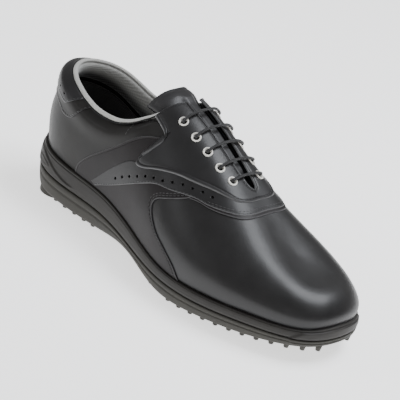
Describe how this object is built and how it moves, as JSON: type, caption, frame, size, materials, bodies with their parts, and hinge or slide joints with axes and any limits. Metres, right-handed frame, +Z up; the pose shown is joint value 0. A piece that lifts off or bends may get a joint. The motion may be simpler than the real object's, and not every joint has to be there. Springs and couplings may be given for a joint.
{
  "type": "golf shoe",
  "caption": "Low-cut right golf shoe in smooth black leather with a laced throat, padded collar, moulded sole and twist-lock cleats.",
  "frame": {"origin": "on the ground, under the middle of the shoe's box", "axes": "+X from heel to toe, +Y towards the wearer's left, which is the inner side of this right shoe, +Z up"},
  "size_m": [0.2998, 0.1166, 0.1219],
  "materials": {
    "upper_leather": "smooth black full-grain leather, semi-gloss",
    "overlay_leather": "smooth black leather overlays, semi-gloss, stitched",
    "tongue_leather": "soft black leather, padded",
    "lining_textile": "dark grey textile lining",
    "collar_textile": "dark grey padded collar textile",
    "binding_textile": "light grey knitted binding",
    "sole_rubber": "matt dark warm grey moulded rubber",
    "tread_rubber": "matt olive grey moulded rubber",
    "board": "compressed fibre board",
    "footbed_foam": "dark textile over moulded foam",
    "stiffener": "moulded stiffener sheet",
    "shank_steel": "ribbed spring steel",
    "eyelet_metal": "silver white lacquered rolled rims",
    "lace_cord": "thin round waxed black cord",
    "receptacle_plastic": "dark moulded nylon",
    "cleat_plastic": "grey green moulded polyurethane"
  },
  "bodies": {
    "root": {"outsole": "tread_rubber", "midsole": "sole_rubber", "shank": "shank_steel", "insole_board": "board", "footbed": "footbed_foam", "vamp": "upper_leather", "lateral_quarter": "upper_leather", "medial_quarter": "upper_leather", "lateral_heel_panel": "upper_leather", "medial_heel_panel": "upper_leather", "lateral_facing_stay": "stiffener", "medial_facing_stay": "stiffener", "eyestay": "overlay_leather", "perforated_band": "overlay_leather", "backstay_tab": "overlay_leather", "collar_pad": "collar_textile", "collar_binding": "binding_textile", "quarter_lining": "lining_textile", "vamp_lining": "lining_textile", "tongue": "tongue_leather", "heel_counter": "stiffener", "toe_puff": "stiffener", "shoelace": "lace_cord", "lateral_eyelet_1": "eyelet_metal", "medial_eyelet_1": "eyelet_metal", "lateral_eyelet_2": "eyelet_metal", "medial_eyelet_2": "eyelet_metal", "lateral_eyelet_3": "eyelet_metal", "medial_eyelet_3": "eyelet_metal", "lateral_eyelet_4": "eyelet_metal", "medial_eyelet_4": "eyelet_metal", "lateral_eyelet_5": "eyelet_metal", "medial_eyelet_5": "eyelet_metal", "toe_receptacle": "receptacle_plastic", "ball_lateral_receptacle": "receptacle_plastic", "ball_medial_receptacle": "receptacle_plastic", "waist_lateral_receptacle": "receptacle_plastic", "waist_medial_receptacle": "receptacle_plastic", "heel_lateral_receptacle": "receptacle_plastic", "heel_medial_receptacle": "receptacle_plastic"},
    "toe_cleat": {"toe_cleat": "cleat_plastic"},
    "ball_lateral_cleat": {"ball_lateral_cleat": "cleat_plastic"},
    "ball_medial_cleat": {"ball_medial_cleat": "cleat_plastic"},
    "waist_lateral_cleat": {"waist_lateral_cleat": "cleat_plastic"},
    "waist_medial_cleat": {"waist_medial_cleat": "cleat_plastic"},
    "heel_lateral_cleat": {"heel_lateral_cleat": "cleat_plastic"},
    "heel_medial_cleat": {"heel_medial_cleat": "cleat_plastic"}
  },
  "joints": [
    {"name": "toe_cleat_twist", "type": "hinge", "parent": "root", "child": "toe_cleat", "pos_m": [0.1118, 0.00487, 0.00922], "axis": [-0.1159, 0.0025, 0.9933], "range_deg": [0, 90]},
    {"name": "ball_lateral_cleat_twist", "type": "hinge", "parent": "root", "child": "ball_lateral_cleat", "pos_m": [0.07105, -0.03174, 0.00597], "axis": [-0.0723, 0.0023, 0.9974], "range_deg": [0, 90]},
    {"name": "ball_medial_cleat_twist", "type": "hinge", "parent": "root", "child": "ball_medial_cleat", "pos_m": [0.07491, 0.0344, 0.0061], "axis": [-0.0741, 0.0023, 0.9972], "range_deg": [0, 90]},
    {"name": "waist_lateral_cleat_twist", "type": "hinge", "parent": "root", "child": "waist_lateral_cleat", "pos_m": [0.02497, -0.03544, 0.005], "axis": [0.0974, -0.0063, 0.9952], "range_deg": [0, 90]},
    {"name": "waist_medial_cleat_twist", "type": "hinge", "parent": "root", "child": "waist_medial_cleat", "pos_m": [0.0308, 0.02498, 0.00482], "axis": [0.0806, -0.0051, 0.9967], "range_deg": [0, 90]},
    {"name": "heel_lateral_cleat_twist", "type": "hinge", "parent": "root", "child": "heel_lateral_cleat", "pos_m": [-0.12086, -0.01581, 0.00466], "axis": [0.0348, 0, 0.9994], "range_deg": [0, 90]},
    {"name": "heel_medial_cleat_twist", "type": "hinge", "parent": "root", "child": "heel_medial_cleat", "pos_m": [-0.12085, 0.02142, 0.00466], "axis": [0.0348, 0, 0.9994], "range_deg": [0, 90]}
  ]
}
